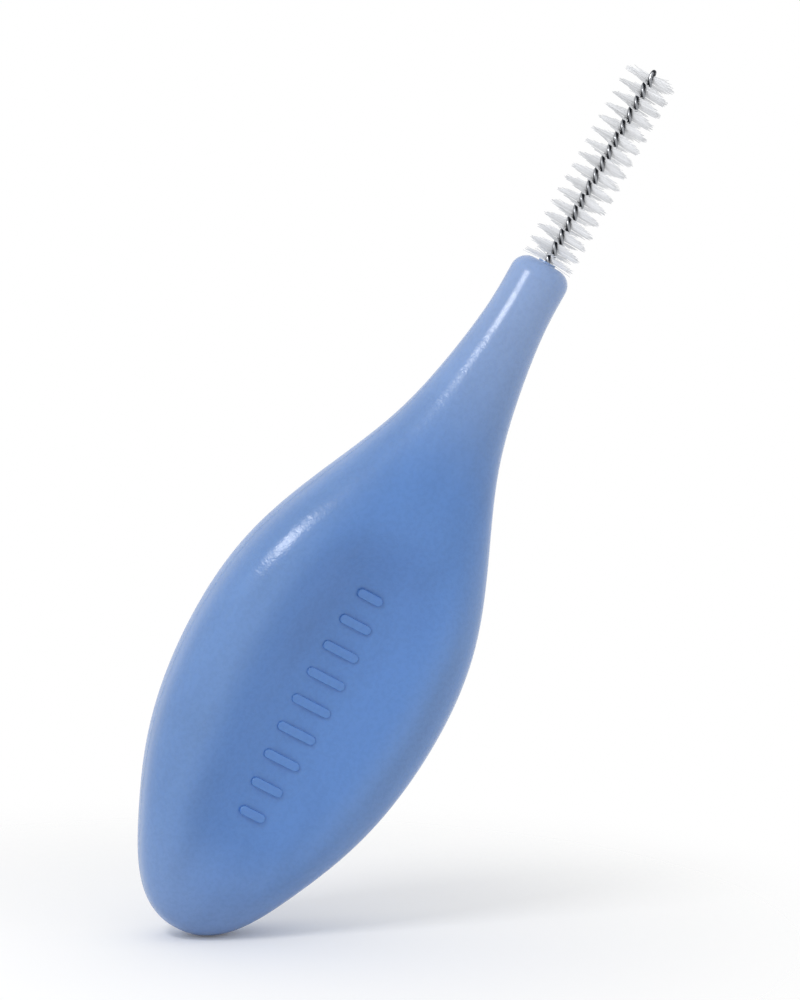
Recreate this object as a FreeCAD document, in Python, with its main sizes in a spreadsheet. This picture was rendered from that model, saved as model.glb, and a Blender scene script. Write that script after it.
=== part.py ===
import FreeCAD, Part
import math
import os
import Sketcher
from FreeCAD import Placement, Rotation, Vector

# Interdental brush, standing on its butt end with the brush up.
# Origin at the butt end on the long axis, +Z to the brush tip, broad faces towards -Y and +Y.

# Driving sizes in millimetres, with counts as whole numbers
SIZES = (
    ("handle_length", 48.4, "butt end to the flat end of the neck"),
    ("foot_width", 1.0, "small flat left by the moulding gate"),
    ("foot_thickness", 0.8, ""),
    ("toe_height", 1.34, "rounded butt end, above the butt's flat"),
    ("toe_width", 6.3, ""),
    ("toe_thickness", 4.9, ""),
    ("low_height", 5.2, "above the butt's flat, as the next two are"),
    ("low_width", 11.16, ""),
    ("low_thickness", 7.1, ""),
    ("flank_height", 10.3, ""),
    ("flank_width", 15.34, ""),
    ("flank_thickness", 8.4, ""),
    ("belly_height", 17.9, "widest place of the grip"),
    ("belly_width", 17.68, ""),
    ("belly_thickness", 8.9, ""),
    ("chest_share", 0.36, "place between belly and throat"),
    ("chest_width", 16.42, ""),
    ("chest_thickness", 8.8, ""),
    ("shoulder_share", 0.7135, "where the leaf turns in to the neck, between belly and throat"),
    ("shoulder_width", 11.66, ""),
    ("shoulder_thickness", 7.6, ""),
    ("throat_depth", 12.7, "below the neck's end, as the next two are"),
    ("throat_width", 7.38, ""),
    ("throat_thickness", 6.2, ""),
    ("nape_depth", 7.6, ""),
    ("nape_width", 4.98, ""),
    ("nape_thickness", 4.7, ""),
    ("collar_depth", 3.7, ""),
    ("collar_width", 4.0, ""),
    ("collar_thickness", 3.98, ""),
    ("crown_depth", 2.1, "top of the moulded taper, below the neck's end and inside the neck"),
    ("crown_inset", 0.014, "how much thinner it is than the neck there"),
    ("side_fullness", 0.9, "0 gives oval cross-sections, 1 squarer ones"),
    ("dish_foot", 3.6, "lower crest of the thumb dish, above the butt's flat"),
    ("dish_depth", 18.4, "upper crest of the thumb dish, below the neck's end"),
    ("dish_breadth", 0.76, "dish over its rim, as a share of the grip's width"),
    ("foot_slope", 3.2, "length of the slope at the lower end of the dish"),
    ("head_slope", 5.2, "length of the slope at its upper end"),
    ("dish_flatness", 2.2, "2 gives a round bowl, more gives a flatter floor"),
    ("foot_web", 5.3, "plastic left between the two dishes at their lower end"),
    ("head_web", 3.1, "plastic left between them at their upper end"),
    ("rib_count", 9, "anti-slip ribs in each dish"),
    ("rib_step", 1.95, ""),
    ("rib_width", 0.6, ""),
    ("rib_longest", 2.8, "middle rib"),
    ("rib_shortest", 1.8, "end ribs"),
    ("rib_rise", 0.26, "above the bottom of the dish"),
    ("rib_round", 0.09, "edge radius on top of each rib"),
    ("neck_diameter", 3.9, "cylindrical land for a push-on cap"),
    ("neck_length", 6.0, "whole neck, its lower part inside the grip"),
    ("neck_round", 1.05, "corner radius of the neck's end"),
    ("boss_diameter", 1.15, "raised ring where the wire comes out"),
    ("boss_rise", 0.12, ""),
    ("brush_length", 14.0, "neck's end to the top of the wire's fold"),
    ("brush_diameter", 3.56, "over the tips of the filaments"),
    ("strand_diameter", 0.28, "stainless wire"),
    ("wire_anchor", 11.0, "length of wire moulded into the neck"),
    ("seat_gap", 0.01, "between the wire's envelope and its seat"),
    ("half_turns", 16, "half turns of twist along the brush, one tuft each"),
    ("run_out", 0.6, "length below the fold where the twist dies away"),
    ("filament_diameter", 0.06, "nylon"),
    ("filament_gap", 0.007, "between filaments along the wire"),
    ("pinch_gap", 0.01, "between a filament and each strand"),
    ("bristle_clear", 0.04, "bare wire at each end of the bristles"),
    ("twist_start", 109.0, "degrees, direction of the strands at the neck's end"),
)
GRIP_SECTIONS = 46
SECTION_POINTS = 96
RUN_OUT_STEPS = 4

doc = FreeCAD.newDocument("interdental_brush")
sheet = doc.addObject("Spreadsheet::Sheet", "sizes")
for row, (alias, value, note) in enumerate(SIZES, start=1):
    sheet.set(f"A{row}", alias.replace("_", " "))
    sheet.set(f"B{row}", str(value))
    sheet.setAlias(f"B{row}", alias)
    sheet.set(f"C{row}", note)
doc.recompute()


def size(alias):
    return float(sheet.get(alias))


def smooth(share):
    share = min(1.0, max(0.0, share))
    return share**2 * (3 - 2 * share)


# Sketch helpers
def new_sketch(body, name, role):
    sketch = body.newObject("Sketcher::SketchObject", name)
    plane = next(p for p in body.Origin.OriginFeatures if p.Role == role)
    sketch.AttachmentSupport = (plane, [""])
    sketch.MapMode = "FlatFace"
    return sketch


def relate(sketch, *what):
    sketch.addConstraint(Sketcher.Constraint(*what))


def start_of(edge):
    return edge, 1


def end_of(edge):
    return edge, 2


def middle_of(edge):
    return edge, 3


def origin():
    return start_of(-1)


def dimension(sketch, name, formula, *what):
    index = sketch.addConstraint(Sketcher.Constraint(*what))
    sketch.renameConstraint(index, name)
    sketch.setExpression(f".Constraints.{name}", formula)


# Grip: a leaf of squared ovals that flattens from the neck, with a dished thumb rest on each face
def station_heights():
    """Height of each measured cross-section, from the butt end up."""
    top = size("handle_length")
    belly, throat = size("belly_height"), top - size("throat_depth")
    return {
        "toe": size("toe_height"),
        "low": size("low_height"),
        "flank": size("flank_height"),
        "belly": belly,
        "chest": belly + size("chest_share") * (throat - belly),
        "shoulder": belly + size("shoulder_share") * (throat - belly),
        "throat": throat,
        "nape": top - size("nape_depth"),
        "collar": top - size("collar_depth"),
    }


def dish_ends():
    return size("dish_foot"), size("handle_length") - size("dish_depth")


def dish_floor(z):
    """Half of the plastic left between the two dishes at one height."""
    low, high = dish_ends()
    share = (z - low) / (high - low)
    return (size("foot_web") + (size("head_web") - size("foot_web")) * share) / 2


def dished(x, half_width, z):
    """1 at the bottom of the dish, 0 from the crest of its rim outwards."""
    across = abs(x) / (half_width * size("dish_breadth"))
    if across >= 1:
        return 0.0
    low, high = dish_ends()
    bowl = (1 - across ** size("dish_flatness")) ** 2
    return bowl * smooth((z - low) / size("foot_slope")) * smooth((high - z) / size("head_slope"))


def grip_section(half_width, half_thickness, z):
    """Closed curve round the grip at one height."""
    flat = max(0.0, 1 - half_thickness / half_width)
    power = 2 + 2 * size("side_fullness") * flat
    floor = dish_floor(z)
    points = []
    for step in range(SECTION_POINTS):
        angle = 2 * math.pi * (step + 0.5) / SECTION_POINTS
        across, out = math.cos(angle), math.sin(angle)
        reach = (abs(across) ** power + abs(out) ** power) ** (-1 / power)
        x = half_width * reach * across
        y = half_thickness * reach * abs(out)
        if y > floor:
            y += (floor - y) * dished(x, half_width, z)
        points.append(Vector(x, math.copysign(y, out), z))
    curve = Part.BSplineCurve()
    knots = [step / SECTION_POINTS for step in range(SECTION_POINTS + 1)]
    curve.interpolate(Points=points, PeriodicFlag=True, Parameters=knots)
    return Part.Wire([curve.toShape()])


def grip_shape():
    """Loft through sections spaced evenly along the leaf's outline."""
    outline = [Vector(size("foot_width") / 2, size("foot_thickness") / 2, 0)]
    for name, height in station_heights().items():
        half_width = size(f"{name}_width") / 2
        half_thickness = size(f"{name}_thickness") / 2
        outline.append(Vector(half_width, half_thickness, height))
    half_crown = (size("neck_diameter") - size("crown_inset")) / 2
    outline.append(Vector(half_crown, half_crown, size("handle_length") - size("crown_depth")))
    ridge = Part.BSplineCurve()
    ridge.interpolate(Points=outline)
    places = ridge.toShape().discretize(Number=GRIP_SECTIONS)
    sections = [grip_section(place.x, place.y, place.z) for place in places]
    return Part.makeLoft(sections, True, False, False, 5)


grip = doc.addObject("Part::Feature", "grip")
grip.Shape = grip_shape()

# Neck: turned shape with a rounded end and a low boss where the wire comes out
neck = doc.addObject("PartDesign::Body", "neck")
outline = new_sketch(neck, "neck_outline", "XZ_Plane")
base = size("handle_length") - size("neck_length")
top = size("handle_length")
neck_r = size("neck_diameter") / 2
round_r = size("neck_round")
boss_r = size("boss_diameter") / 2
boss_top = top + size("boss_rise")
corner = Vector(neck_r - round_r, top - round_r, 0)
arc = Part.ArcOfCircle(Part.Circle(corner, Vector(0, 0, 1), round_r), 0, math.pi / 2)
BASE, SIDE, CORNER, END, STEP, BOSS, AXIS = range(7)
outline.addGeometry(
    [
        Part.LineSegment(Vector(0, base, 0), Vector(neck_r, base, 0)),
        Part.LineSegment(Vector(neck_r, base, 0), Vector(neck_r, top - round_r, 0)),
        arc,
        Part.LineSegment(Vector(neck_r - round_r, top, 0), Vector(boss_r, top, 0)),
        Part.LineSegment(Vector(boss_r, top, 0), Vector(boss_r, boss_top, 0)),
        Part.LineSegment(Vector(boss_r, boss_top, 0), Vector(0, boss_top, 0)),
        Part.LineSegment(Vector(0, boss_top, 0), Vector(0, base, 0)),
    ],
    False,
)
relate(outline, "Coincident", *end_of(BASE), *start_of(SIDE))
relate(outline, "Tangent", *end_of(SIDE), *start_of(CORNER))
relate(outline, "Tangent", *end_of(CORNER), *start_of(END))
relate(outline, "Coincident", *end_of(END), *start_of(STEP))
relate(outline, "Coincident", *end_of(STEP), *start_of(BOSS))
relate(outline, "Coincident", *end_of(BOSS), *start_of(AXIS))
relate(outline, "Coincident", *end_of(AXIS), *start_of(BASE))
relate(outline, "PointOnObject", *start_of(BASE), -2)
relate(outline, "PointOnObject", *end_of(BOSS), -2)
relate(outline, "Horizontal", BASE)
relate(outline, "Vertical", SIDE)
relate(outline, "Horizontal", END)
relate(outline, "Vertical", STEP)
relate(outline, "Horizontal", BOSS)
NECK_BASE = "sizes.handle_length - sizes.neck_length"
dimension(outline, "base", NECK_BASE, "DistanceY", *origin(), *start_of(BASE), base)
dimension(outline, "end", "sizes.handle_length", "DistanceY", *origin(), *end_of(END), top)
dimension(outline, "radius", "sizes.neck_diameter / 2", "DistanceX", *origin(), *end_of(BASE), neck_r)
dimension(outline, "corner", "sizes.neck_round", "Radius", CORNER, round_r)
dimension(outline, "boss", "sizes.boss_diameter / 2", "DistanceX", *origin(), *end_of(END), boss_r)
dimension(outline, "rise", "sizes.boss_rise", "DistanceY", *start_of(STEP), *end_of(STEP), boss_top - top)
turned = neck.newObject("PartDesign::Revolution", "neck_turned")
turned.Profile = outline
turned.ReferenceAxis = (outline, ["V_Axis"])
turned.Angle = 360
doc.recompute()

# Ribs: a column of short bars across the floor of the front dish, longest in the middle
ribs = doc.addObject("PartDesign::Body", "front_ribs")
ribs.AllowCompound = True
bars = new_sketch(ribs, "rib_outlines", "XZ_Plane")
rib_count = int(size("rib_count"))
DISH_MIDDLE = "(sizes.dish_foot + sizes.handle_length - sizes.dish_depth) / 2"
DISH_LENGTH = "(sizes.handle_length - sizes.dish_depth - sizes.dish_foot)"
MIDDLE_FLOOR = "(sizes.foot_web + sizes.head_web) / 4"
dish_middle = sum(dish_ends()) / 2
middle_floor = dish_floor(dish_middle)
for bar in range(rib_count):
    off_centre = bar - (rib_count - 1) / 2
    along = abs(2 * off_centre / max(1, rib_count - 1))
    fullness = round(1 - along**2, 4)
    reach = f"(sizes.rib_shortest + (sizes.rib_longest - sizes.rib_shortest) * {fullness}"
    reach += " - sizes.rib_width) / 2"
    level = f"{DISH_MIDDLE} + ({off_centre}) * sizes.rib_step"
    half = size("rib_shortest") + (size("rib_longest") - size("rib_shortest")) * fullness
    half = (half - size("rib_width")) / 2
    z = dish_middle + off_centre * size("rib_step")
    bar_r = size("rib_width") / 2
    first = bars.GeometryCount
    right, upper, left, lower = range(first, first + 4)
    ends = [Part.Circle(Vector(side * half, z, 0), Vector(0, 0, 1), bar_r) for side in (1, -1)]
    bars.addGeometry(
        [
            Part.ArcOfCircle(ends[0], -math.pi / 2, math.pi / 2),
            Part.LineSegment(Vector(half, z + bar_r, 0), Vector(-half, z + bar_r, 0)),
            Part.ArcOfCircle(ends[1], math.pi / 2, 3 * math.pi / 2),
            Part.LineSegment(Vector(-half, z - bar_r, 0), Vector(half, z - bar_r, 0)),
        ],
        False,
    )
    relate(bars, "Tangent", *end_of(right), *start_of(upper))
    relate(bars, "Tangent", *end_of(upper), *start_of(left))
    relate(bars, "Tangent", *end_of(left), *start_of(lower))
    relate(bars, "Tangent", *end_of(lower), *start_of(right))
    relate(bars, "Horizontal", upper)
    dimension(bars, f"round_{bar}", "sizes.rib_width / 2", "Radius", right, bar_r)
    dimension(bars, f"level_{bar}", level, "DistanceY", *origin(), *middle_of(right), z)
    dimension(bars, f"right_{bar}", reach, "DistanceX", *origin(), *middle_of(right), half)
    dimension(bars, f"left_{bar}", reach, "DistanceX", *middle_of(left), *origin(), half)
raised = ribs.newObject("PartDesign::Pad", "ribs_raised")
raised.Profile = bars
raised.setExpression("Length", f"{MIDDLE_FLOOR} + sizes.rib_rise")
doc.recompute()
rib_top = -(middle_floor + size("rib_rise"))
top_edges = [
    f"Edge{index}"
    for index, edge in enumerate(raised.Shape.Edges, start=1)
    if abs(edge.BoundBox.YMin - rib_top) + abs(edge.BoundBox.YMax - rib_top) < 1e-4
]
eased = ribs.newObject("PartDesign::Fillet", "ribs_eased")
eased.Base = (raised, top_edges)
eased.setExpression("Radius", "sizes.rib_round")
FLOOR_TILT = f"atan((sizes.head_web - sizes.foot_web) / 2 / {DISH_LENGTH})"
tilt = f"rotation(vector(1; 0; 0); {FLOOR_TILT})"
pivot = f"vector(0; -({MIDDLE_FLOOR}); {DISH_MIDDLE})"
ribs.setExpression("Placement", f"placement(vector(0; 0; 0); {tilt}; {pivot})")
doc.recompute()
back_ribs = doc.addObject("Part::Mirroring", "back_ribs")
back_ribs.Source = ribs
back_ribs.Normal = Vector(0, 1, 0)

# Handle: grip, neck and ribs are one moulding, with the wire's seat down its axis
moulding = doc.addObject("Part::MultiFuse", "moulding")
moulding.Shapes = [grip, neck, ribs, back_ribs]
seat = doc.addObject("Part::Cylinder", "wire_seat")
ENVELOPE = "sizes.strand_diameter + sizes.filament_diameter / 2 + sizes.pinch_gap"
SEAT_END = "sizes.wire_anchor + sizes.strand_diameter / 2"
seat.setExpression("Radius", f"{ENVELOPE} + sizes.seat_gap")
seat.setExpression("Height", f"{SEAT_END} + 2 * sizes.boss_rise")
seat.setExpression("Placement.Base.z", f"sizes.handle_length - ({SEAT_END})")
handle = doc.addObject("Part::Cut", "handle")
handle.Base = moulding
handle.Tool = seat
handle.Label = "handle"

# Wire: one length folded in half, both legs twisted together left-handed up to the fold
strand_r = size("strand_diameter") / 2
pinch = size("filament_diameter") / 2 + size("pinch_gap")
lay_r = strand_r + pinch
mouth = size("handle_length")
half_turn = size("brush_length") / size("half_turns")
fold = size("brush_length") - lay_r - strand_r
full_twist = fold - size("run_out")


def twist(up):
    """Direction of the strands, and its change per millimetre, at a height above the neck's end."""
    rate = -math.pi / half_turn
    straight = math.radians(size("twist_start")) + rate * min(up, full_twist)
    past = max(0.0, up - full_twist)
    dying = rate * (past - past**2 / (2 * size("run_out")))
    return straight + dying, rate * (1 - past / size("run_out"))


def strand(up, side):
    """Centre and direction of one leg of the wire, side 1 or -1."""
    angle, rate = twist(up)
    across = Vector(math.cos(angle), math.sin(angle), 0) * side
    along = Vector(-across.y, across.x, 0) * (lay_r * rate) + Vector(0, 0, 1)
    return across * lay_r + Vector(0, 0, mouth + up), along.normalize()


def arc_between(start, heading, finish):
    """Middle of the arc that leaves a point in a given direction and ends at another."""
    chord = finish - start
    side = chord - heading * chord.dot(heading)
    radius = chord.Length**2 / (2 * side.Length)
    centre = start + side.normalize() * radius
    return centre + ((start + finish) / 2 - centre).normalize() * radius


def two_arcs(start, heading, finish, leaving):
    """Pair of arcs between two points, tangent to the given directions and to each other."""
    chord = finish - start
    turn = 1 - heading.dot(leaving)
    lean = chord.dot(heading + leaving)
    reach = (math.sqrt(lean**2 + 2 * turn * chord.dot(chord)) - lean) / (2 * turn)
    meet = (start + finish + (heading - leaving) * reach) / 2
    first = Part.Arc(start, arc_between(start, heading, meet), meet)
    second = Part.Arc(meet, arc_between(finish, leaving * -1, meet), finish)
    return [first.toShape(), second.toShape()]


def leg_arcs(places):
    arcs = []
    for below, above in zip(places, places[1:]):
        arcs += two_arcs(*below, *above)
    return arcs


turns = math.ceil(2 * (full_twist + size("wire_anchor")) / half_turn)
rise = (full_twist + size("wire_anchor")) / turns
heights = [step * rise - size("wire_anchor") for step in range(turns + 1)]
ease = size("run_out") / RUN_OUT_STEPS
heights += [full_twist + step * ease for step in range(1, RUN_OUT_STEPS + 1)]
up_leg = [strand(height, 1) for height in heights]
down_leg = [strand(height, -1) for height in reversed(heights)]
down_leg = [(place, heading * -1) for place, heading in down_leg]
fold_start, fold_finish = up_leg[-1][0], down_leg[0][0]
fold_centre = (fold_start + fold_finish) / 2
crest = fold_centre + Vector(0, 0, lay_r)


def fold_arc(start, finish):
    middle = (start + finish) / 2 - fold_centre
    return Part.Arc(start, fold_centre + middle.normalize() * lay_r, finish).toShape()


route = leg_arcs(up_leg)
route += [fold_arc(fold_start, crest), fold_arc(crest, fold_finish)]
route += leg_arcs(down_leg)
path = Part.Wire(route)
profile = Part.Wire([Part.Circle(*up_leg[0], strand_r).toShape()])
wire = doc.addObject("Part::Feature", "wire_stem")
wire.Shape = path.makePipeShell([profile], True, False)
wire.Label = "wire_stem"

# Filaments: each passes between the two legs, square to them, and sticks out on both sides
half_turns = int(size("half_turns"))
spacing = size("filament_diameter") + size("filament_gap")
bristle_start = size("boss_rise") + size("bristle_clear")
bristle_run = fold - size("bristle_clear") - bristle_start
tufts = [[] for tuft in range(half_turns)]
for index in range(int(bristle_run / spacing)):
    up = bristle_start + (index + 0.5) * spacing
    angle = twist(up)[0] + math.pi / 2
    heading = Vector(math.cos(angle), math.sin(angle), 0)
    filament = doc.addObject("Part::Cylinder", f"filament_{index + 1:03d}")
    filament.setExpression("Radius", "sizes.filament_diameter / 2")
    filament.setExpression("Height", "sizes.brush_diameter")
    end = Vector(0, 0, mouth + up) - heading * (size("brush_diameter") / 2)
    filament.Placement = Placement(end, Rotation(Vector(0, 0, 1), heading))
    tufts[int(up / half_turn)].append(filament)
bristles = []
for number, filaments in enumerate(tufts, start=1):
    tuft = doc.addObject("Part::Compound", f"bristle_tuft_{number:02d}")
    tuft.Links = filaments
    tuft.Label = f"bristle_tuft_{number:02d}"
    bristles.append(tuft)
doc.recompute()

# Checks on the finished shapes
failed = [o.Name for o in doc.Objects if {"Invalid", "Error"} & set(o.State)]
if failed:
    raise RuntimeError(f"these objects failed: {failed}")
sub_parts = [handle, wire] + bristles
for sub_part in sub_parts:
    shape = sub_part.Shape
    if shape.isNull() or not shape.isValid() or not shape.Solids:
        raise RuntimeError(f"{sub_part.Label} has no valid solid")
if len(handle.Shape.Solids) != 1 or len(wire.Shape.Solids) != 1:
    raise RuntimeError("the handle and the wire are one solid each")
tube = math.pi * strand_r**2 * path.Length
print(f"wire: {len(route)} arcs, {path.Length:.2f} mm long, volume {wire.Shape.Volume / tube:.4f} of its tube")
legs = [Part.Wire(leg_arcs(leg)).discretize(Distance=0.05) for leg in (up_leg, down_leg)]
gap = min((near - far).Length for near in legs[0] for far in legs[1]) - 2 * strand_r
print(f"least gap between the two legs of the wire {gap:.4f} mm")
print(f"filaments: {sum(len(t) for t in tufts)}, tufts of {[len(t) for t in tufts]}")
print(f"handle: volume {handle.Shape.Volume:.1f} mm3, {len(handle.Shape.Faces)} faces")

os.makedirs("parts", exist_ok=True)
for sub_part in sub_parts:
    sub_part.Shape.exportStep(f"parts/{sub_part.Label}.step")
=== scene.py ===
import math
import random

import bmesh
import bpy
from mathutils import Matrix, Vector


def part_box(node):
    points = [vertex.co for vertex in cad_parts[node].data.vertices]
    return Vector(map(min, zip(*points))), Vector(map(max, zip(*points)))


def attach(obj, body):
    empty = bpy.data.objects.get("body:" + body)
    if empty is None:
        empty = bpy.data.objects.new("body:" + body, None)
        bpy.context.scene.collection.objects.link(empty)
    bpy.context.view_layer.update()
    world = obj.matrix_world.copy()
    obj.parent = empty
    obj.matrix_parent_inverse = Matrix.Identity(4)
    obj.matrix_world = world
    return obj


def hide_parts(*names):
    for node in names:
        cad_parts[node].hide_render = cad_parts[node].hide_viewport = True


bl_info = {
    "name": "Interdental Brush",
    "version": (1, 0, 0),
    "blender": (4, 5, 0),
    "location": "View3D > Sidebar > Brush",
    "description": "Finishes an interdental brush: moulded grip, twisted wire and nylon bristles",
    "category": "Object",
}

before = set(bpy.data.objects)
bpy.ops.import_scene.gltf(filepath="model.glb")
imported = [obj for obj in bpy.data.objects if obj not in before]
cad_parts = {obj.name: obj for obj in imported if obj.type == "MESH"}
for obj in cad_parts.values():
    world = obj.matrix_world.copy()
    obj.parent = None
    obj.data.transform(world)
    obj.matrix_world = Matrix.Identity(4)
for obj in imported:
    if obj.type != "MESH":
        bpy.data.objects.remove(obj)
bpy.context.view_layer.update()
TUFTS = sorted(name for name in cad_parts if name.startswith("bristle_tuft"))

# Fine grain: detail of each noise, and fineness and share of the second one
GRAIN_DETAIL = 1.5
FINER_SCALE = 2.6
FINER_SHARE = 0.5

# Oval of deeper, darker colour painted on each broad face as shade in the thumb dish, in metres
OVAL_HALF_WIDTH = 0.0062
OVAL_HALF_HEIGHT = 0.0185
OVAL_MIDDLE = 0.0200

# Where that colour fades, as the square of the distance from the oval's middle to its edge
OVAL_FADE = (0.45, 1.15)

# Where the colour and the grain change along the handle, as shares of its length; the paler colour at the
# neck and the butt is painted light
NECK_FADE = (0.66, 0.97)
BUTT_FADE = (0.01, 0.16)
BUTT_PALENESS = 0.34
GRAIN_FADE = (0.86, 0.93)
NECK_GRAIN = 0.06

# Flow marks, pits, parting line and roughness of the plastic
FLOW_SCALE = (260.0, 260.0, 90.0)
FLOW_LEVELS = (0.42, 0.72)
PIT_LEVELS = (0.60, 0.95)
PIT_DARK = 0.05
SEAM_HEIGHT = 2.2
GRAIN_ROUGHNESS = 0.10
GRAIN_MEAN = 0.7

# Distance from the wire's axis over which the painted shade in the crevice gives way to the strand's
# bright back
CREVICE_SHADE_FADE = (0.000284, 0.000304)

# Draw marks along the wire, their depth in metres, and the roughness between and in them
MARK_STRETCH = (1.0, 1.0, 0.25)
MARK_SCALE = 16000.0
MARK_LEVELS = (0.55, 0.95)
MARK_DARK = 0.35
MARK_DEPTH = 0.000002
ROUGH_LEVELS = (0.5, 1.0)
STEEL_ROUGHNESS = (0.16, 0.34)

# Nylon: brightness of the dullest filament, and roughness of the dullest and what the clearest adds
DULL_SHARE = 0.70
NYLON_ROUGHNESS = 0.28
ADDED_ROUGHNESS = 0.2

# Filaments: sides and steps of one, width left at its tip, spread of its length, and how they stray
FILAMENT_SIDES = 5
FILAMENT_STEPS = 4
TIP_WIDTH = 0.55
REACH_SPREAD = (0.86, 1.0)
LEAST_BEND = 0.01
FRAY = 2.2
LIFT_SHARE = 0.7
FEWEST_FILAMENTS = 4
FIRST_SEED = 4100

# Places and sizes of the light, the floor and the picture, in metres
KEY_DISTANCE = 0.10
KEY_AIM = 0.045
KEY_WIDTH = 0.035
KEY_HEIGHT = 0.020
FLOOR_RADIUS = 0.05
FLOOR_FADE = (0.018, 0.048)
PICTURE_HEIGHT = 0.0638978
PICTURE_RIGHT = -0.00080
PICTURE_UP = 0.03077

# The floor's sides, shade and glow to the camera
FLOOR_SIDES = 96
FLOOR_SHADE = (0.90, 0.90, 0.90, 1.0)
FLOOR_GLOW = 0.08

# Plain colours
WHITE = (1.0, 1.0, 1.0, 1.0)
BLACK = (0.0, 0.0, 0.0)


# Sizes and colours that a user would change
class GripFinish(bpy.types.PropertyGroup):
    rim: bpy.props.FloatVectorProperty(
        name="Rim",
        description="Colour of the plastic on the rim and the outside of the grip",
        subtype="COLOR",
        default=(0.140, 0.270, 0.560),
        min=0.0,
        max=1.0,
    )
    # Painted shade: a deeper, darker blue in the thumb dish than on the rim
    dish: bpy.props.FloatVectorProperty(
        name="Dish",
        description="Deeper colour of the same plastic in the thumb dish",
        subtype="COLOR",
        default=(0.100, 0.240, 0.575),
        min=0.0,
        max=1.0,
    )
    # Painted light: paler colour at the neck and, in part, the butt, standing in for light passing through
    # the slender neck and bouncing up onto the butt
    neck: bpy.props.FloatVectorProperty(
        name="Neck",
        description="Paler colour of the same plastic at the neck and, in part, the butt",
        subtype="COLOR",
        default=(0.245, 0.355, 0.600),
        min=0.0,
        max=1.0,
    )
    cloud: bpy.props.FloatProperty(
        name="Cloud",
        description="Strength of the faint darker flow marks",
        subtype="FACTOR",
        default=0.10,
        min=0.0,
        max=1.0,
    )
    grain: bpy.props.FloatProperty(
        name="Grain",
        description="Size of the fine moulded grain",
        subtype="DISTANCE",
        default=0.00030,
        min=0.00002,
    )
    grain_depth: bpy.props.FloatProperty(
        name="Grain depth",
        description="Depth of the moulded grain",
        subtype="DISTANCE",
        default=0.000012,
        min=0.0,
    )
    seam_width: bpy.props.FloatProperty(
        name="Seam width",
        description="Width of the parting line round the edge",
        subtype="DISTANCE",
        default=0.00014,
        min=0.00002,
    )
    gloss: bpy.props.FloatProperty(
        name="Roughness",
        description="Roughness of the satin plastic",
        subtype="FACTOR",
        default=0.21,
        min=0.05,
        max=1.0,
    )


class WireFinish(bpy.types.PropertyGroup):
    steel: bpy.props.FloatVectorProperty(
        name="Steel",
        description="Colour of the drawn wire",
        subtype="COLOR",
        default=(0.40, 0.41, 0.43),
        min=0.0,
        max=1.0,
    )
    # Colour of the real draw marks, and also of the painted shade in the crevice between the strands
    crevice: bpy.props.FloatVectorProperty(
        name="Crevice",
        description="Dark of the draw marks and of the crevice between the strands",
        subtype="COLOR",
        default=(0.022, 0.024, 0.030),
        min=0.0,
        max=1.0,
    )


class BristleSizes(bpy.types.PropertyGroup):
    filaments: bpy.props.IntProperty(
        name="Filaments",
        description="Filaments in one full half turn of the wire",
        default=70,
        min=4,
    )
    thickness: bpy.props.FloatProperty(
        name="Thickness",
        description="Diameter of one filament",
        subtype="DISTANCE",
        default=0.00006,
        min=0.00002,
    )
    reach: bpy.props.FloatProperty(
        name="Reach",
        description="Length of a filament from the wire's axis to its tip",
        subtype="DISTANCE",
        default=0.00178,
        min=0.0005,
    )
    half_turn: bpy.props.FloatProperty(
        name="Half turn",
        description="Length of wire in which the twist makes half a turn",
        subtype="DISTANCE",
        default=0.000875,
        min=0.0002,
    )
    first_turn: bpy.props.FloatProperty(
        name="First turn",
        description="Direction of the filaments at the neck's end",
        subtype="ANGLE",
        default=math.radians(199),
    )
    scatter: bpy.props.FloatProperty(
        name="Scatter",
        description="How far a filament strays from its neighbours",
        subtype="ANGLE",
        default=math.radians(1.7),
        min=0.0,
    )
    nylon: bpy.props.FloatVectorProperty(
        name="Nylon",
        description="Colour of the filaments",
        subtype="COLOR",
        default=(0.91, 0.925, 0.955),
        min=0.0,
        max=1.0,
    )


class StageSizes(bpy.types.PropertyGroup):
    camera_turn: bpy.props.FloatProperty(
        name="Turn",
        description="Camera's place round the brush, to the left of the broad face",
        subtype="ANGLE",
        default=math.radians(-17.5),
    )
    camera_rise: bpy.props.FloatProperty(
        name="Rise",
        description="Camera's place above square to the brush",
        subtype="ANGLE",
        default=math.radians(3.0),
    )
    lean: bpy.props.FloatProperty(
        name="Lean",
        description="How far the brush leans to the right in the picture",
        subtype="ANGLE",
        default=math.radians(29.25),
    )
    floor_rise: bpy.props.FloatProperty(
        name="Floor",
        description="How far the camera looks down on the floor",
        subtype="ANGLE",
        default=math.radians(7.0),
    )
    fill: bpy.props.FloatProperty(
        name="Fill",
        description="Level of the even light from all round",
        default=0.84,
        min=0.0,
    )
    key: bpy.props.FloatProperty(
        name="Key",
        description="Power of the soft light on the left",
        unit="POWER",
        default=0.032,
        min=0.0,
    )
    key_turn: bpy.props.FloatProperty(
        name="Key turn",
        description="How far to the left of the camera the light stands",
        subtype="ANGLE",
        default=math.radians(50.0),
    )
    key_rise: bpy.props.FloatProperty(
        name="Key rise",
        description="How far above the neck the light stands",
        subtype="ANGLE",
        default=math.radians(4.0),
    )


class BrushSettings(bpy.types.PropertyGroup):
    grip: bpy.props.PointerProperty(type=GripFinish)
    wire: bpy.props.PointerProperty(type=WireFinish)
    bristles: bpy.props.PointerProperty(type=BristleSizes)
    stage: bpy.props.PointerProperty(type=StageSizes)


# Node helpers
def new_node(tree, kind, **settings):
    node = tree.nodes.new(kind)
    for name, value in settings.items():
        setattr(node, name, value)
    return node


def math_node(tree, operation, *inputs):
    node = new_node(tree, "ShaderNodeMath", operation=operation)
    for socket, value in zip(node.inputs, inputs):
        if isinstance(value, bpy.types.NodeSocket):
            tree.links.new(value, socket)
        else:
            socket.default_value = value
    return node.outputs["Value"]


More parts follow.
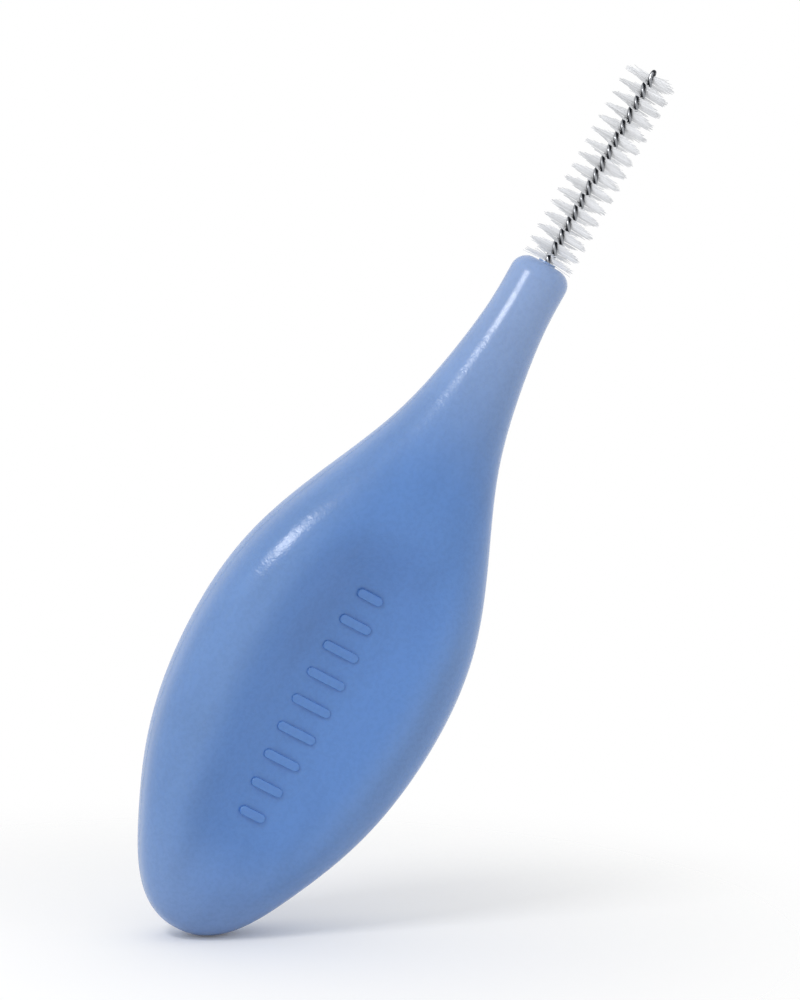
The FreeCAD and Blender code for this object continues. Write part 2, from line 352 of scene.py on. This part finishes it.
def ramp_between(tree, value, low, high, to_low=0.0, to_high=1.0):
    """Smooth step from one level to another as a value goes from low to high."""
    node = new_node(tree, "ShaderNodeMapRange", interpolation_type="SMOOTHSTEP")
    tree.links.new(value, node.inputs["Value"])
    node.inputs["From Min"].default_value = low
    node.inputs["From Max"].default_value = high
    node.inputs["To Min"].default_value = to_low
    node.inputs["To Max"].default_value = to_high
    return node.outputs["Result"]


def mix_colours(tree, share, first, second):
    node = new_node(tree, "ShaderNodeMix", data_type="RGBA")
    tree.links.new(share, node.inputs["Factor"])
    colours = [socket for socket in node.inputs if socket.type == "RGBA"]
    for socket, value in zip(colours, (first, second)):
        if isinstance(value, bpy.types.NodeSocket):
            tree.links.new(value, socket)
        else:
            socket.default_value = (*value, 1.0)
    return next(socket for socket in node.outputs if socket.type == "RGBA")


def new_material(name):
    material = bpy.data.materials.new(name)
    material.use_nodes = True
    tree = material.node_tree
    tree.nodes.clear()
    shader = tree.nodes.new("ShaderNodeBsdfPrincipled")
    output = tree.nodes.new("ShaderNodeOutputMaterial")
    tree.links.new(shader.outputs["BSDF"], output.inputs["Surface"])
    return material, tree, shader


def grain_group():
    """Two sizes of fine noise, as left on plastic by a spark-eroded mould and on wire by its die."""
    tree = bpy.data.node_groups.get("fine_grain")
    if tree:
        return tree
    tree = bpy.data.node_groups.new("fine_grain", "ShaderNodeTree")
    tree.interface.new_socket("Vector", in_out="INPUT", socket_type="NodeSocketVector")
    tree.interface.new_socket("Scale", in_out="INPUT", socket_type="NodeSocketFloat")
    tree.interface.new_socket("Height", in_out="OUTPUT", socket_type="NodeSocketFloat")
    start = tree.nodes.new("NodeGroupInput")
    finish = tree.nodes.new("NodeGroupOutput")
    heights = []
    for finer in (1.0, FINER_SCALE):
        noise = new_node(tree, "ShaderNodeTexNoise")
        noise.inputs["Detail"].default_value = GRAIN_DETAIL
        tree.links.new(start.outputs["Vector"], noise.inputs["Vector"])
        scale = math_node(tree, "MULTIPLY", start.outputs["Scale"], finer)
        tree.links.new(scale, noise.inputs["Scale"])
        heights.append(noise.outputs["Fac"])
    finer_part = math_node(tree, "MULTIPLY", heights[1], FINER_SHARE)
    height = math_node(tree, "ADD", heights[0], finer_part)
    tree.links.new(height, finish.inputs["Height"])
    return tree


def add_grain(tree, vector, scale):
    node = new_node(tree, "ShaderNodeGroup", node_tree=grain_group())
    tree.links.new(vector, node.inputs["Vector"])
    node.inputs["Scale"].default_value = scale
    return node.outputs["Height"]


def stretched(tree, vector, scale):
    """The same coordinates with each axis scaled, to draw a pattern out along one of them."""
    node = new_node(tree, "ShaderNodeMapping")
    tree.links.new(vector, node.inputs["Vector"])
    node.inputs["Scale"].default_value = scale
    return node.outputs["Vector"]


def add_bump(tree, height, depth, shader):
    node = tree.nodes.new("ShaderNodeBump")
    node.inputs["Strength"].default_value = 1.0
    node.inputs["Distance"].default_value = depth
    tree.links.new(height, node.inputs["Height"])
    tree.links.new(node.outputs["Normal"], shader.inputs["Normal"])


# Materials
def grip_plastic(finish):
    """Waxy satin plastic with a moulded grain on the blade and a parting line; painted light makes it
    paler at the neck and the butt, and painted shade deepens the thumb dish.
    """
    material, tree, shader = new_material("grip_plastic")
    place = tree.nodes.new("ShaderNodeTexCoord").outputs["Object"]
    axes = tree.nodes.new("ShaderNodeSeparateXYZ")
    tree.links.new(place, axes.inputs["Vector"])
    handle_low, handle_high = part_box("handle")
    length = handle_high.z - handle_low.z
    height_share = math_node(tree, "DIVIDE", axes.outputs["Z"], length)

    across = math_node(tree, "DIVIDE", axes.outputs["X"], OVAL_HALF_WIDTH)
    along = math_node(tree, "SUBTRACT", axes.outputs["Z"], OVAL_MIDDLE)
    along = math_node(tree, "DIVIDE", along, OVAL_HALF_HEIGHT)
    out = math_node(tree, "MULTIPLY_ADD", across, across, math_node(tree, "MULTIPLY", along, along))
    # Painted shade: deeper, darker colour inside the oval of the thumb dish
    dish_shade_share = ramp_between(tree, out, *OVAL_FADE, 1.0, 0.0)
    blade = mix_colours(tree, dish_shade_share, finish.rim, finish.dish)
    # Painted light: the colour turns paler towards the neck and the butt
    neck_share = ramp_between(tree, height_share, *NECK_FADE)
    butt_share = ramp_between(tree, height_share, *BUTT_FADE, BUTT_PALENESS, 0.0)
    painted_pale_share = math_node(tree, "MAXIMUM", neck_share, butt_share)
    colour = mix_colours(tree, painted_pale_share, blade, finish.neck)
    flow = new_node(tree, "ShaderNodeTexNoise")
    flow.inputs["Scale"].default_value = 1.0
    flow.inputs["Detail"].default_value = 2.0
    tree.links.new(stretched(tree, place, FLOW_SCALE), flow.inputs["Vector"])
    cloud = ramp_between(tree, flow.outputs["Fac"], *FLOW_LEVELS, 0.0, finish.cloud)
    grain = add_grain(tree, place, 1.0 / finish.grain)
    pits = ramp_between(tree, grain, *PIT_LEVELS, 0.0, PIT_DARK)
    dark = math_node(tree, "ADD", cloud, pits)
    tree.links.new(mix_colours(tree, dark, colour, BLACK), shader.inputs["Base Color"])

    shown = ramp_between(tree, height_share, *GRAIN_FADE, 1.0, NECK_GRAIN)
    height = math_node(tree, "MULTIPLY", grain, shown)
    off_seam = math_node(tree, "ABSOLUTE", axes.outputs["Y"])
    seam = ramp_between(tree, off_seam, 0.0, finish.seam_width, SEAM_HEIGHT, 0.0)
    add_bump(tree, math_node(tree, "ADD", height, seam), finish.grain_depth, shader)

    satin = math_node(tree, "MULTIPLY", grain, GRAIN_ROUGHNESS)
    smoothest = finish.gloss - GRAIN_ROUGHNESS * GRAIN_MEAN
    tree.links.new(math_node(tree, "ADD", satin, smoothest), shader.inputs["Roughness"])
    shader.inputs["IOR"].default_value = 1.50
    shader.inputs["Subsurface Weight"].default_value = 0.22
    shader.inputs["Subsurface Radius"].default_value = (0.45, 0.65, 1.0)
    shader.inputs["Subsurface Scale"].default_value = 0.0012
    return material


def stem_steel(finish):
    """Drawn stainless wire with faint lengthwise marks, and painted shade in the crevice between the
    strands.
    """
    material, tree, shader = new_material("stem_steel")
    place = tree.nodes.new("ShaderNodeTexCoord").outputs["Object"]
    axes = tree.nodes.new("ShaderNodeSeparateXYZ")
    tree.links.new(place, axes.inputs["Vector"])
    square = math_node(tree, "MULTIPLY", axes.outputs["Y"], axes.outputs["Y"])
    square = math_node(tree, "MULTIPLY_ADD", axes.outputs["X"], axes.outputs["X"], square)
    from_axis = math_node(tree, "SQRT", square)
    # Painted shade: dark colour in the crevice near the wire's axis
    crevice = ramp_between(tree, from_axis, *CREVICE_SHADE_FADE, 1.0, 0.0)
    marks = add_grain(tree, stretched(tree, place, MARK_STRETCH), MARK_SCALE)
    faint = ramp_between(tree, marks, *MARK_LEVELS, 0.0, MARK_DARK)
    share = math_node(tree, "MAXIMUM", crevice, faint)
    tree.links.new(mix_colours(tree, share, finish.steel, finish.crevice), shader.inputs["Base Color"])
    rough = ramp_between(tree, marks, *ROUGH_LEVELS, *STEEL_ROUGHNESS)
    tree.links.new(rough, shader.inputs["Roughness"])
    shader.inputs["Metallic"].default_value = 1.0
    add_bump(tree, marks, MARK_DEPTH, shader)
    return material


def filament_nylon(sizes):
    """Milky clear nylon; each filament has its own shade in the mesh's shade attribute."""
    material, tree, shader = new_material("filament_nylon")
    shade = new_node(tree, "ShaderNodeAttribute", attribute_name="shade")
    dull = [DULL_SHARE * part for part in sizes.nylon]
    tree.links.new(mix_colours(tree, shade.outputs["Fac"], dull, sizes.nylon), shader.inputs["Base Color"])
    rough = math_node(tree, "MULTIPLY_ADD", shade.outputs["Fac"], ADDED_ROUGHNESS, NYLON_ROUGHNESS)
    tree.links.new(rough, shader.inputs["Roughness"])
    shader.inputs["IOR"].default_value = 1.53
    shader.inputs["Alpha"].default_value = 0.62
    return material


# Pieces
class BRUSH_OT_finish_grip(bpy.types.Operator):
    """Give the handle its moulded plastic"""

    bl_idname = "interdental_brush.finish_grip"
    bl_label = "Finish Grip"

    def execute(self, context):
        settings = context.scene.interdental_brush
        wear(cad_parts["handle"], grip_plastic(settings.grip))
        return {"FINISHED"}


class BRUSH_OT_finish_wire(bpy.types.Operator):
    """Give the twisted wire its steel"""

    bl_idname = "interdental_brush.finish_wire"
    bl_label = "Finish Wire"

    def execute(self, context):
        settings = context.scene.interdental_brush
        wear(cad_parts["wire_stem"], stem_steel(settings.wire))
        return {"FINISHED"}


def wear(item, material):
    item.data.materials.clear()
    item.data.materials.append(material)


def add_filament(shape, root, heading, sideways, reach, bend, radius):
    """One half of a filament: a thin tube that bows sideways from the wire to a narrower tip."""
    facing = heading.to_track_quat("Z", "Y").to_matrix().to_4x4()
    ring = bmesh.ops.create_circle(
        shape,
        cap_ends=False,
        segments=FILAMENT_SIDES,
        radius=radius,
        matrix=Matrix.Translation(root) @ facing,
    )
    verts = ring["verts"]
    edges = list({edge for vert in verts for edge in vert.link_edges})
    centre = root + sideways * (reach / bend)
    turned = bmesh.ops.spin(
        shape,
        geom=verts + edges,
        cent=centre,
        axis=sideways.cross(heading) * -1,
        angle=bend,
        steps=FILAMENT_STEPS,
    )
    last = turned["geom_last"]
    tip_verts = [part for part in last if isinstance(part, bmesh.types.BMVert)]
    tip_edges = [part for part in last if isinstance(part, bmesh.types.BMEdge)]
    tip = sum((vert.co for vert in tip_verts), Vector()) / len(tip_verts)
    narrower = Vector((TIP_WIDTH, TIP_WIDTH, TIP_WIDTH))
    bmesh.ops.scale(shape, vec=narrower, space=Matrix.Translation(-tip), verts=tip_verts)
    bmesh.ops.edgeloop_fill(shape, edges=tip_edges)


class BRUSH_OT_make_bristles(bpy.types.Operator):
    """Make each tuft of nylon filaments in place of its plain solid"""

    bl_idname = "interdental_brush.make_bristles"
    bl_label = "Make Bristles"

    def execute(self, context):
        sizes = context.scene.interdental_brush.bristles
        material = filament_nylon(sizes)
        for number, node in enumerate(TUFTS):
            self.make_tuft(sizes, material, node, number)
        return {"FINISHED"}

    def make_tuft(self, sizes, material, node, number):
        chance = random.Random(FIRST_SEED + number)
        low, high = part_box(node)
        radius = sizes.thickness / 2
        bottom, top = low.z + radius, high.z - radius
        frayed = number in (0, len(TUFTS) - 1)
        count = max(FEWEST_FILAMENTS, round(sizes.filaments * (top - bottom) / sizes.half_turn))
        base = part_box("wire_stem")[1].z - sizes.half_turn * len(TUFTS)
        stray = sizes.scatter * (FRAY if frayed else 1.0)
        shape = bmesh.new()
        shade = shape.verts.layers.float.new("shade")
        for index in range(count):
            up = bottom + (top - bottom) * (index + chance.random()) / count
            turn = sizes.first_turn - math.pi * (up - base) / sizes.half_turn
            for side in (0.0, math.pi):
                around = turn + side + chance.gauss(0.0, stray)
                lift = chance.gauss(0.0, stray * LIFT_SHARE)
                heading = Vector((math.cos(around), math.sin(around), math.tan(lift))).normalized()
                sideways = heading.orthogonal().normalized()
                sideways.rotate(Matrix.Rotation(chance.uniform(0.0, 2 * math.pi), 3, heading))
                reach = sizes.reach * chance.uniform(*REACH_SPREAD)
                bend = abs(chance.gauss(0.0, stray)) + LEAST_BEND
                before = len(shape.verts)
                add_filament(shape, Vector((0, 0, up)), heading, sideways, reach, bend, radius)
                shape.verts.ensure_lookup_table()
                tone = chance.random()
                for vert in shape.verts[before:]:
                    vert[shade] = tone
        bmesh.ops.recalc_face_normals(shape, faces=shape.faces)
        mesh = bpy.data.meshes.new(f"filaments_{number + 1:02d}")
        shape.to_mesh(mesh)
        shape.free()
        mesh.shade_smooth()
        tuft = bpy.data.objects.new(f"filaments_{number + 1:02d}", mesh)
        bpy.context.scene.collection.objects.link(tuft)
        # Clear nylon passes the light on, so a tuft shades neither itself nor the wire
        tuft.visible_shadow = False
        tuft.visible_diffuse = False
        wear(tuft, material)
        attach(tuft, "root")
        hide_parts(node)


# Floor, light and camera
def camera_axes(stage):
    """Right, up and back of the picture, before it is turned to make the brush lean."""
    turn, rise = stage.camera_turn, stage.camera_rise
    back = Vector((math.sin(turn) * math.cos(rise), -math.cos(turn) * math.cos(rise), math.sin(rise)))
    right = Vector((0, 0, 1)).cross(back).normalized()
    return right, back.cross(right), back


def light_path_white(tree):
    """1 for what the camera sees directly, in a glossy surface or through a clear one."""
    path = tree.nodes.new("ShaderNodeLightPath")
    seen = math_node(tree, "MAXIMUM", path.outputs["Is Camera Ray"], path.outputs["Is Glossy Ray"])
    return math_node(tree, "MAXIMUM", seen, path.outputs["Is Transmission Ray"])


class BRUSH_OT_make_stage(bpy.types.Operator):
    """Make the pale floor, the soft light and the camera"""

    bl_idname = "interdental_brush.make_stage"
    bl_label = "Make Stage"

    def execute(self, context):
        stage = context.scene.interdental_brush.stage
        right, up, back = camera_axes(stage)
        lean = Matrix.Rotation(stage.lean, 3, back)
        picture_right, picture_up = lean @ right, lean @ up
        self.make_world(context.scene, stage)
        self.make_floor(stage, picture_up, back)
        axes = right, up, back
        self.make_key(stage, axes)
        self.make_camera(context.scene, axes, (picture_right, picture_up))
        return {"FINISHED"}

    def make_key(self, stage, axes):
        """Soft light to the left of the camera, close to the neck and a little above it."""
        right, up, back = axes
        level = back * math.cos(stage.key_turn) - right * math.sin(stage.key_turn)
        offset = (level * math.cos(stage.key_rise) + up * math.sin(stage.key_rise)) * KEY_DISTANCE
        lamp = bpy.data.lights.new("key_softbox", "AREA")
        lamp.shape = "RECTANGLE"
        lamp.size = KEY_WIDTH
        lamp.size_y = KEY_HEIGHT
        lamp.energy = stage.key
        item = bpy.data.objects.new("key_softbox", lamp)
        item.location = Vector((0, 0, KEY_AIM)) + offset
        item.rotation_euler = offset.to_track_quat("Z", "Y").to_euler()
        item.visible_camera = False
        bpy.context.scene.collection.objects.link(item)

    def make_world(self, scene, stage):
        """Even light from all round, which shows as white."""
        world = bpy.data.worlds.new("white_surround")
        world.use_nodes = True
        tree = world.node_tree
        background = tree.nodes["Background"]
        background.inputs["Color"].default_value = WHITE
        seen = light_path_white(tree)
        level = math_node(tree, "MULTIPLY_ADD", seen, 1.0 - stage.fill, stage.fill)
        tree.links.new(level, background.inputs["Strength"])
        scene.world = world

    def make_floor(self, stage, picture_up, back):
        """Pale disc under the butt, level in the photograph's view."""
        normal = picture_up * math.cos(stage.floor_rise) + back * math.sin(stage.floor_rise)
        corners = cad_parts["handle"].data.vertices
        touch = min((vert.co for vert in corners), key=lambda place: place.dot(normal))
        facing = normal.to_track_quat("Z", "Y").to_matrix().to_4x4()
        shape = bmesh.new()
        bmesh.ops.create_circle(
            shape,
            cap_ends=True,
            segments=FLOOR_SIDES,
            radius=FLOOR_RADIUS,
            matrix=Matrix.Translation(touch) @ facing,
        )
        mesh = bpy.data.meshes.new("floor")
        shape.to_mesh(mesh)
        shape.free()
        floor = bpy.data.objects.new("floor", mesh)
        bpy.context.scene.collection.objects.link(floor)
        wear(floor, self.floor_white(touch))

    def floor_white(self, touch):
        """White that fades into the surround and is clear from below."""
        material, tree, shader = new_material("floor_white")
        shader.inputs["Base Color"].default_value = FLOOR_SHADE
        shader.inputs["Roughness"].default_value = 0.9
        shader.inputs["Specular IOR Level"].default_value = 0.0
        shader.inputs["Emission Color"].default_value = WHITE
        place = tree.nodes.new("ShaderNodeTexCoord").outputs["Object"]
        away = new_node(tree, "ShaderNodeVectorMath", operation="DISTANCE")
        tree.links.new(place, away.inputs[0])
        away.inputs[1].default_value = touch
        seen = math_node(tree, "MULTIPLY", light_path_white(tree), FLOOR_GLOW)
        tree.links.new(seen, shader.inputs["Emission Strength"])
        under = tree.nodes.new("ShaderNodeNewGeometry").outputs["Backfacing"]
        above = math_node(tree, "SUBTRACT", 1.0, under)
        near = ramp_between(tree, away.outputs["Value"], *FLOOR_FADE, 1.0, 0.0)
        tree.links.new(math_node(tree, "MULTIPLY", above, near), shader.inputs["Alpha"])
        return material

    def make_camera(self, scene, axes, picture):
        """Long lens that frames the brush as in the photograph."""
        right, up, back = axes
        lens = bpy.data.cameras.new("camera")
        lens.sensor_width = 36.0
        lens.lens = 150.0
        lens.clip_start = 0.01
        lens.clip_end = 10.0
        item = bpy.data.objects.new("camera", lens)
        centre = right * PICTURE_RIGHT + up * PICTURE_UP
        far = PICTURE_HEIGHT * lens.lens / lens.sensor_width
        turned = Matrix((*picture, back)).transposed()
        item.matrix_world = Matrix.Translation(centre + back * far) @ turned.to_4x4()
        scene.collection.objects.link(item)
        scene.camera = item
        scene.view_settings.view_transform = "Standard"


class VIEW3D_PT_interdental_brush(bpy.types.Panel):
    bl_label = "Interdental Brush"
    bl_space_type = "VIEW_3D"
    bl_region_type = "UI"
    bl_category = "Brush"

    def draw(self, context):
        settings = context.scene.interdental_brush
        for operator, group in (
            (BRUSH_OT_finish_grip, settings.grip),
            (BRUSH_OT_finish_wire, settings.wire),
            (BRUSH_OT_make_bristles, settings.bristles),
            (BRUSH_OT_make_stage, settings.stage),
        ):
            box = self.layout.box()
            for name in group.__annotations__:
                box.prop(group, name)
            box.operator(operator.bl_idname)


CLASSES = (
    GripFinish,
    WireFinish,
    BristleSizes,
    StageSizes,
    BrushSettings,
    BRUSH_OT_finish_grip,
    BRUSH_OT_finish_wire,
    BRUSH_OT_make_bristles,
    BRUSH_OT_make_stage,
    VIEW3D_PT_interdental_brush,
)


def register():
    for item in CLASSES:
        bpy.utils.register_class(item)
    bpy.types.Scene.interdental_brush = bpy.props.PointerProperty(type=BrushSettings)


def unregister():
    del bpy.types.Scene.interdental_brush
    for item in reversed(CLASSES):
        bpy.utils.unregister_class(item)


def main():
    register()
    bpy.ops.interdental_brush.finish_grip()
    bpy.ops.interdental_brush.finish_wire()
    bpy.ops.interdental_brush.make_bristles()
    bpy.ops.interdental_brush.make_stage()


if __name__ == "__main__":
    main()
